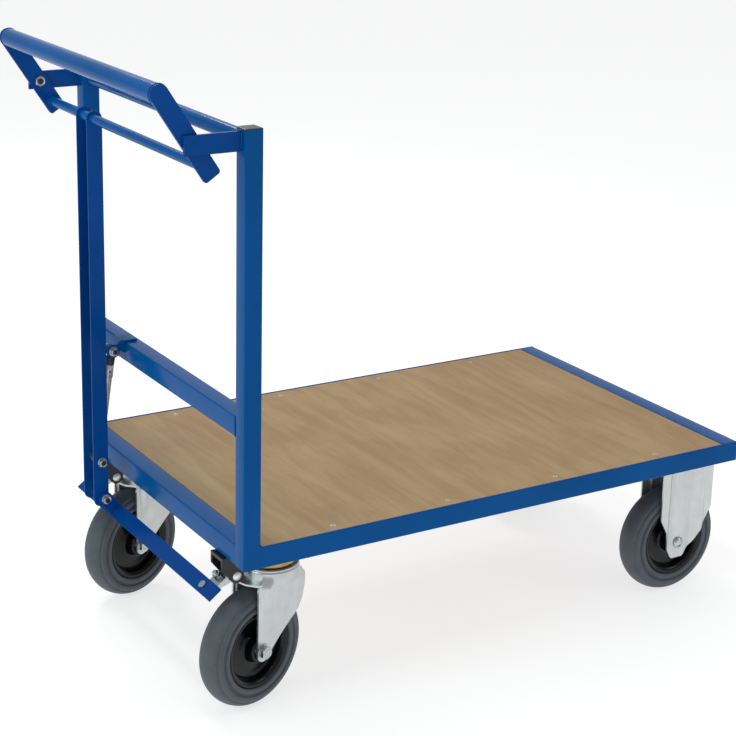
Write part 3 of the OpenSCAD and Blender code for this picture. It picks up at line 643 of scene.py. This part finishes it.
# ---- Swivel forks ----
# Each is one 3.5 mm zinc-plated pressing: two tapering cheeks with a soft upright crease, bulging
# under a flared crown, with a flat lip folded out at the back.
# Passivated zinc sheet: pale, silvery and slightly cloudy, with faint drawing lines down the press
zinc_sheet, sheet_tree, sheet_shader = new_material("passivated_zinc_sheet")
sheet_place = add(sheet_tree, "ShaderNodeTexCoord").outputs["Object"]
sheet_cloud = add(sheet_tree, "ShaderNodeTexNoise", {"Scale": 45.0, "Detail": 4.0}, {"Vector": sheet_place})
sheet_drawn = add(sheet_tree, "ShaderNodeTexNoise", {"Scale": 1.0, "Detail": 3.0},
                  {"Vector": add(sheet_tree, "ShaderNodeMapping", {"Scale": (240.0, 240.0, 12.0)},
                                 {"Vector": sheet_place}).outputs["Vector"]})
sheet_mix = add(sheet_tree, "ShaderNodeMix", {"Factor": 0.35}, {"A": sheet_cloud.outputs["Fac"],
                                                               "B": sheet_drawn.outputs["Fac"]}, data_type="FLOAT")
sheet_tree.links.new(blend_colours(sheet_tree, sheet_mix.outputs["Result"],
                                   [(0.3, "#c0c3c4"), (0.7, "#cfd2d2")]), sheet_shader.inputs["Base Color"])
sheet_rough = add(sheet_tree, "ShaderNodeMapRange", {"To Min": 0.26, "To Max": 0.33},
                  {"Value": sheet_mix.outputs["Result"]})
sheet_tree.links.new(sheet_rough.outputs["Result"], sheet_shader.inputs["Roughness"])
sheet_bump = add(sheet_tree, "ShaderNodeBump", {"Strength": 0.03, "Distance": 0.0003},
                 {"Height": sheet_mix.outputs["Result"]})
sheet_tree.links.new(sheet_bump.outputs["Normal"], sheet_shader.inputs["Normal"])
sheet_shader.inputs["Metallic"].default_value = 0.8

trail, axle_z, fork_inner, sheet_thick = 42.0, 100.0, 27.5, 3.5
castor_turn = {1: 18.1, -1: 16.3}


def stand(grid, side):
    """A grid drawn along +X from a swivel axis, turned by its castor's angle and stood at its castor."""
    turn = math.radians(castor_turn[side])
    spin = np.array([[math.cos(turn), -math.sin(turn), 0], [math.sin(turn), math.cos(turn), 0], [0, 0, 1]])
    return grid @ spin.T + (swivel_x, side * swivel_y, 0)


def smooth(value):
    """0 below 0, 1 above 1 and 3 v^2 - 2 v^3 between."""
    value = np.clip(value, 0, 1)
    return value * value * (3 - 2 * value)


def swivel_cheek(hand):
    """One cheek, drawn for the +Y hand. At height z it runs from x = a(z) to b(z), both of them tip circles
    below 98; its outer face is at y = 31 + 11 s((x + 50)/16) s((62 - x)/40) s((z - 105)/100), where s is
    the smooth step. Above 206 it closes in on the crown's circle of radius 48.6."""
    z = np.concatenate([[82.05, 82.5, 83.5, 85, 87, 89.5, 92], np.linspace(95, 232, 46)])[:, None]
    tip = np.sqrt(np.clip(144 - (z - 94) ** 2, 0, None))
    back = np.where(z < 94, -trail - tip, np.interp(z, [94, 98, 214, 232], [-54, -53.4, -53, -46]))
    front = np.where(z < 89, -trail + tip,
                     np.interp(z, [89, 98, 153, 170, 190, 214, 232], [-31.1, -22, 32, 42, 48, 50, 40]))
    across = np.linspace(0, 1, 44)
    x = back + (front - back) * across
    y = fork_inner + sheet_thick + 11 * smooth((x + 50) / 16) * smooth((62 - x) / 40) * smooth((z - 105) / 100)
    share = smooth((z - 206) / 26)
    turns = np.radians(146 - 112 * across)
    near = np.stack([share * np.cos(turns), (1 - share) + share * np.sin(turns)], axis=-1)
    near /= np.linalg.norm(near, axis=-1, keepdims=True)
    face = np.stack([(1 - share) * x + share * 48.6 * np.cos(turns), (1 - share) * y + share * 48.6 * np.sin(turns)],
                    axis=-1)
    height = np.broadcast_to(z, x.shape)[..., None]
    outer = np.concatenate([face, height], axis=-1)
    inner = np.concatenate([face - sheet_thick * near, height], axis=-1)
    return np.concatenate([outer, inner[:, ::-1]], axis=1) * (1, hand, 1)


crown_section = chaikin([(7.3, 234), (36, 234), (43.6, 229), (45.4, 222), (46.0, 211.6), (49.4, 211.6), (50.2, 214),
                         (49.4, 224), (48.4, 231.5), (46.4, 235.6), (43, 237.6), (40, 238.4), (7.3, 238.4)])
lip_outline = np.concatenate([[(-63, 9), (-62, 12.5), (-53.5, 30), (-51.5, 31), (-37, 31)],
                              arc((0, 0), 47.4, 139, 82, 16),
                              [(-37, -31), (-51.5, -31), (-53.5, -30), (-62, -12.5), (-63, -9)]])
rim_thick = 3.0
for side, node, body in ((1, "swivel_fork_left", "swivel_fork_l"), (-1, "swivel_fork_right", "swivel_fork_r")):
    grids = [stand(swivel_cheek(hand), side) for hand in (1, -1)]
    grids.append(stand(turned(crown_section, (0, 0, 0), UP, FORWARD, 96), side))
    # The rolled edge round the top of the crown
    grids.append(stand(turned(arc((46.2, 236.2), 2.4, 0, 360, 20), (0, 0, 0), UP, FORWARD, 96), side))
    lip = np.stack([np.insert(lip_outline, 2, z, axis=1) for z in (214, 214 + rim_thick)])
    grids.append(stand(lip, side))
    piece(node + "_pressing", grids, zinc_sheet, body, [node], bevel=0.7)

# ---- Fixed forks ----
# Zinc-plated pressings whose deep cheeks are stiffened by upright corrugations.
fixed_x, fixed_y = centre_of("tyre_front_right")[:2] * (1, -1)
plate_under = node_box("fixed_plates")[0][2]


def fixed_cheek(hand):
    """One cheek, drawn for the +Y hand. At height z it runs from x = a(z) to b(z), and its outer face steps
    out and in at upright folds: y is a line through the fold points, rounded over 1.2 mm."""
    z = np.concatenate([[69.0, 70.0, 72.0, 76.0], np.linspace(80, plate_under, 40)])[:, None]
    back = np.interp(z, [69, 72, 87, 121, 148], [-10, -14, -22, -25.5, -40])
    front = np.interp(z, [69, 72, 92, 120, 156], [13, 17, 27, 57, 79])
    x = back + (front - back) * np.linspace(0, 1, 90)
    folds = [-40, -23, -19.5, -15, 17, 22, 54, 60, 79]
    steps = [31.0, 31.4, 28.6, 34.4, 33.0, 38.4, 36.4, 30.6, 29.2]
    y = sum(np.interp(x + shift, folds, steps) for shift in (-1.2, -0.6, 0, 0.6, 1.2)) / 5
    # The folds run out towards the axle boss
    y = y + (31.4 - y) * smooth((100 - z) / 18)
    height = np.broadcast_to(z, x.shape)
    outer, inner = np.stack([x, y, height], axis=-1), np.stack([x, y - sheet_thick + 0.4, height], axis=-1)
    return np.concatenate([outer, inner[:, ::-1]], axis=1) * (1, hand, 1)


for side, node in ((1, "fixed_fork_left"), (-1, "fixed_fork_right")):
    grids = [fixed_cheek(hand) + (fixed_x, side * fixed_y, 0) for hand in (1, -1)]
    piece(node + "_pressing", grids, zinc_sheet, "frame", [node], bevel=0.5)
eased("fixed_plates", zinc_sheet, "frame", 0.8)

# ---- Axles ----
# M12 hexagon bolts with a spacer sleeve through each wheel. The swivel forks show the nut and the
# thread's end on the right; the fixed forks show a large domed head outwards.
axle_radius, axle_hexagon = 6.0, 11.1


def axle(middle, along, half, nut_side, round_head):
    """Sleeve, bolt and nut of one wheel on the unit vector along, the nut on the given side."""
    toward = along * nut_side
    screw = threaded(axle_radius, 11.0, middle + toward * (half - 1), toward, UP, 1.75)
    washer = [(axle_radius, 0), (12.4, 0), (12.8, 0.4), (12.8, 1.2), (12.4, 1.6), (axle_radius, 1.6), (axle_radius, 0)]
    grids = [bush(axle_radius + 0.1, 10, -27.4, 27.4, middle, along, UP, 40),
             rod(axle_radius, -half, half - 1, middle, along, UP, 32),
             turned(washer, middle + toward * half, toward, UP, 48),
             hexagon(axle_hexagon, 8.0, middle + toward * (half + 1.6), toward, UP, axle_radius - 0.1)]
    head = middle - toward * half
    if round_head:
        button = [(0, 0), (9.6, 0), (10.6, 1.2), (10.8, 3.4), (9.8, 5.4), (7.6, 6.8), (6.4, 6.4), (5.6, 5.0), (0, 4.4)]
        grids.append(turned(button, head, -toward, UP, 64))
    else:
        grids.append(hexagon(axle_hexagon, 7.8, head, -toward, UP))
    return grids, screw


for side, node, body in ((1, "swivel_axle_left", "swivel_fork_l"), (-1, "swivel_axle_right", "swivel_fork_r")):
    grids, screw = axle(np.array([-trail, 0, axle_z]), LEFT, fork_inner + sheet_thick, -1, False)
    piece(node + "_set", [stand(grid, side) for grid in grids], bright_zinc, body, [node])
    piece(node + "_thread", [stand(screw, side)], bright_zinc, body)
sets = [axle(np.array([fixed_x, side * fixed_y, axle_z]), LEFT, fork_inner + 4.4, -side, True) for side in (-1, 1)]
piece("fixed_axle_sets", sets[0][0] + sets[1][0], bright_zinc, "frame", ["fixed_axles"])
piece("fixed_axle_threads", [sets[0][1], sets[1][1]], bright_zinc, "frame")

# ---- Wheels ----
# 200 x 50 mm wheels: a solid grey rubber tyre with a soft tread and two shallow mould steps on each
# wall, pressed on a black polyamide rim with a deep dish, turning on a caged needle bearing.
# Matt non-marking rubber: mid grey, a little dusty, with a fine mould texture
rubber, tyre_tree, tyre_shader = new_material("grey_rubber")
tyre_place = add(tyre_tree, "ShaderNodeTexCoord").outputs["Object"]
tyre_dust = add(tyre_tree, "ShaderNodeTexNoise", {"Scale": 28.0, "Detail": 5.0, "Roughness": 0.6},
                {"Vector": tyre_place})
tyre_grain = add(tyre_tree, "ShaderNodeTexNoise", {"Scale": 900.0, "Detail": 2.0}, {"Vector": tyre_place})
tyre_tree.links.new(blend_colours(tyre_tree, tyre_dust.outputs["Fac"], [(0.3, "#4b5158"), (0.7, "#585e66")]),
                    tyre_shader.inputs["Base Color"])
tyre_bump = add(tyre_tree, "ShaderNodeBump", {"Strength": 0.2, "Distance": 0.0002},
                {"Height": tyre_grain.outputs["Fac"]})
tyre_tree.links.new(tyre_bump.outputs["Normal"], tyre_shader.inputs["Normal"])
tyre_rough = add(tyre_tree, "ShaderNodeMapRange", {"To Min": 0.5, "To Max": 0.64}, {"Value": tyre_dust.outputs["Fac"]})
tyre_tree.links.new(tyre_rough.outputs["Result"], tyre_shader.inputs["Roughness"])
tyre_shader.inputs["Specular IOR Level"].default_value = 0.3

# Glossy moulded polyamide: near black, with arcs of light in the dish and a faint flow mottle
hub_black = mottled("glossy_black_polyamide", 90.0, 3.0, [(0.3, "#06080a"), (0.7, "#0c0f12")], (0.16, 0.28))
hub_black.node_tree.nodes["Principled BSDF"].inputs["Specular IOR Level"].default_value = 0.28

# The bearing's cage: dull grey machined steel with fine turning marks
cage_steel = mottled("bearing_cage_steel", 700.0, 2.0, [(0.3, "#7d8082"), (0.7, "#9a9da0")], 0.35, 1.0)

tyre_half = [(66, 21.0), (66.4, 23.4), (68.4, 24.9), (73.0, 25.0), (74.6, 24.2), (75.4, 21.8), (77.6, 21.2),
             (79.0, 22.0), (80.0, 24.2), (84.0, 24.6), (88.2, 23.2), (89.2, 20.4), (91.2, 19.6), (92.6, 19.8),
             (95.8, 16.6), (98.4, 11.0), (100.2, 4.0)]
tyre_section = chaikin(tyre_half + [(r, -y) for r, y in reversed(tyre_half)], 2)
rim_half = [(14, 26.3), (18.6, 26.4), (20.4, 25.4), (21.4, 19), (22.2, 12.5), (24.6, 9.2), (29, 8.0), (44, 6.6),
            (49.6, 6.9), (51.8, 9.4), (53.4, 14.5), (55.4, 18.8), (57.6, 21.0), (60.5, 22.6),
            (63.4, 22.8), (65.2, 21.8), (66, 20.4)]
rim_section = chaikin(rim_half + [(r, -y) for r, y in reversed(rim_half)], 2)
cage_bore, cage_radius, cage_half = 10.2, 13.9, 21.9
for place in ("rear_left", "rear_right", "front_left", "front_right"):
    middle = centre_of("tyre_" + place)
    turn = math.radians(castor_turn[1 if "left" in place else -1]) if "rear" in place else 0.0
    along = np.array([-math.sin(turn), math.cos(turn), 0])
    body = "wheel_" + place
    section = tyre_section * (axle_z / tyre_section[:, 0].max(), 1)
    piece("tyre_" + place + "_rubber", [turned(section, middle, along, UP, 160)], rubber, body, ["tyre_" + place],
          sharp=50)
    piece("hub_" + place + "_rim", [turned(rim_section, middle, along, UP, 128)], hub_black, body, ["hub_" + place],
          sharp=50)
    cage = bush(cage_bore, cage_radius, -cage_half, cage_half, middle, along, UP, 48)
    piece("bearing_" + place + "_cage", [cage], cage_steel, body, ["bearing_" + place])

# ---- Pull channel ----
# A folded 2.5 mm channel hanging on the lift bar, rounded at both ends, with a window in its web
# for the gas strut; it carries the handle's lift down to the pedal.
eased("pull_channel", navy_coat, "pull_rod", 0.7)


def cross_bolt(node, radius, body, sleeves=()):
    """A hexagon bolt across the cart: washer, nut and thread's end on the right, head on the left, with
    spacer sleeves between the given sideways places."""
    low, high = node_box(node)
    x, _, z = centre_of(node)
    tail, head, across = 2.1 * radius, 1.25 * radius, 1.85 * radius
    near, far = low[1] + tail, high[1] - head
    washer = [(radius, 0), (2.05 * radius, 0), (2.1 * radius, 0.3), (2.1 * radius, 0.9), (2.05 * radius, 1.2),
              (radius, 1.2), (radius, 0)]
    at = np.array([x, near, z])
    grids = [turned(washer, at, -LEFT, UP, 40),
             hexagon(across, 1.4 * radius, at - 1.2 * LEFT, -LEFT, UP, radius - 0.1),
             rod(radius, -0.4, far - near, at, LEFT, UP, 32),
             hexagon(across, head, np.array([x, far, z]), LEFT, UP)]
    for start, end in sleeves:
        grids.append(bush(radius, 1.7 * radius, 0, end - start, (x, start, z), LEFT, UP, 40))
    piece(node + "_set", grids, bright_zinc, body, [node])
    piece(node + "_thread", [threaded(radius, tail, at, -LEFT, UP, 1.25)], bare_steel, body)


channel_low, channel_high = node_box("pull_channel")
flange_low, flange_high = channel_low[1] + 2.6, channel_high[1] - 2.6
cross_bolt("strut_foot_bolt", 4.0, "pull_rod", [(flange_low, flange_low + 12), (flange_high - 12, flange_high)])
cross_bolt("pedal_bolt", 4.0, "pull_rod", [(flange_low, flange_high)])

# ---- Gas strut and its bracket ----
# A small gas strut, 18 mm round, between the channel and a bracket on the cross member, that
# pushes the handle back up: a painted tube with a bright collar, black end fittings and a chromed rod.
# Silver-grey paint with a fine metal speckle
strut_paint = mottled("silver_strut_paint", 800.0, 2.0, [(0.38, "#8d8f90"), (0.62, "#d9dbdb")], 0.35, 0.6)

# Hard chrome on the rod: bright and very smooth, with faint grinding marks round it
chrome = mottled("hard_chrome", 1.0, 2.0, [(0.3, "#d4d6d8"), (0.7, "#eceeef")], (0.06, 0.14), 1.0,
                 stretch=(60.0, 60.0, 2500.0))

strut_y = centre_of("strut_foot_eye")[1]
strut_foot, strut_head = [centre_of(node) * (1, 0, 1) + (0, strut_y, 0)
                          for node in ("strut_foot_bolt", "strut_pivot_bolt")]
strut_line = unit(strut_head - strut_foot)
strut_length = np.linalg.norm(strut_head - strut_foot)
piece("strut_tube_body", [turned([(7.7, 70), (8.5, 70), (9, 70.6), (9, strut_length - 48), (7.6, strut_length - 47.6),
                                  (7.6, 70), (7.7, 70)], strut_foot, strut_line, LEFT),
                          turned([(6.0, strut_length - 48.6), (9.4, strut_length - 48.6), (9.8, strut_length - 48),
                                  (9.8, strut_length - 27), (9.4, strut_length - 26.2), (6.0, strut_length - 26.2),
                                  (6.0, strut_length - 48.6)], strut_foot, strut_line, LEFT)],
      strut_paint, "strut_tube", ["strut_cylinder"])
# A shallow black disc on the collar stands for the shade inside its small hole: painted shade, not an opening
hole_place = strut_foot + strut_line * (strut_length - 37) - (0, 9.6, 0)
piece("strut_collar_hole_painted_shade", [domed(2.2, 0.4, hole_place, -LEFT, UP, 24)],
      black_plastic, "strut_tube")
rod_profile = [(0, 11.2), (3.9, 11.2), (3.9, 96), (7.4, 96.2), (7.5, 105.8), (0, 106)]
piece("strut_rod_body", [turned(rod_profile, strut_foot, strut_line, LEFT, 48)], chrome, "strut_piston",
      ["strut_rod"])
eased("strut_head_cap", black_plastic, "strut_tube", 0.8)
eased("strut_foot_eye", black_plastic, "strut_piston", 0.6)
eased("strut_bracket", powder_coat, "frame", 0.6)
cross_bolt("strut_pivot_bolt", 4.0, "frame")

# ---- Pedal bar and its ears ----
# A 26.5 x 5 mm flat bar across both castors, with two rounded ears welded on for the channel's bolt.
eased("pedal_bar", navy_coat, "pedal", 0.8)
eased("pedal_ears", navy_coat, "pedal", 0.8)
bar_middle = centre_of("pedal_bar")
pedal_lean = math.radians(37.5)
bar_up = np.array([math.cos(pedal_lean), 0, math.sin(pedal_lean)])
bar_out = np.array([-math.sin(pedal_lean), 0, math.cos(pedal_lean)])
ear_low, ear_high = node_box("pedal_ears")
ear_thick = 4
grids = []
for y, lie in ((ear_low[1], -0.6), (ear_low[1] + ear_thick, 0.6), (ear_high[1] - ear_thick, -0.6), (ear_high[1], 0.6)):
    ends = [bar_middle * (1, 0, 1) + (0, y + lie, 0) + bar_up * reach + bar_out * 2.9 for reach in (-11.5, 11.5)]
    grids.append(weld(ends, 1.9))
piece("pedal_welds", grids, navy_coat, "pedal")

# ---- Brake levers ----
# Zinc-plated pressed channels screwed to the bar's ends; each turns on its castor's rivet and
# bears on the tyre through an adjusting bolt.
for node, finish in (("brake_levers", "zinc_sheet"), ("brake_lever_bolts", "zinc_fasteners")):
    eased(node, bright_zinc, "pedal", 0.4)
adjusters = []
for side in (-1, 1):
    foot = bar_middle * (1, 0, 1) + (0, side * swivel_y, 0) + bar_up * 26 + bar_out * 2.7
    adjusters += [hexagon(7.4, 5.4, foot, bar_out, LEFT, 3.9), threaded(4.0, 11.0, foot - bar_out, bar_out, LEFT, 1.25)]
piece("brake_adjusters", adjusters, bright_zinc, "pedal")
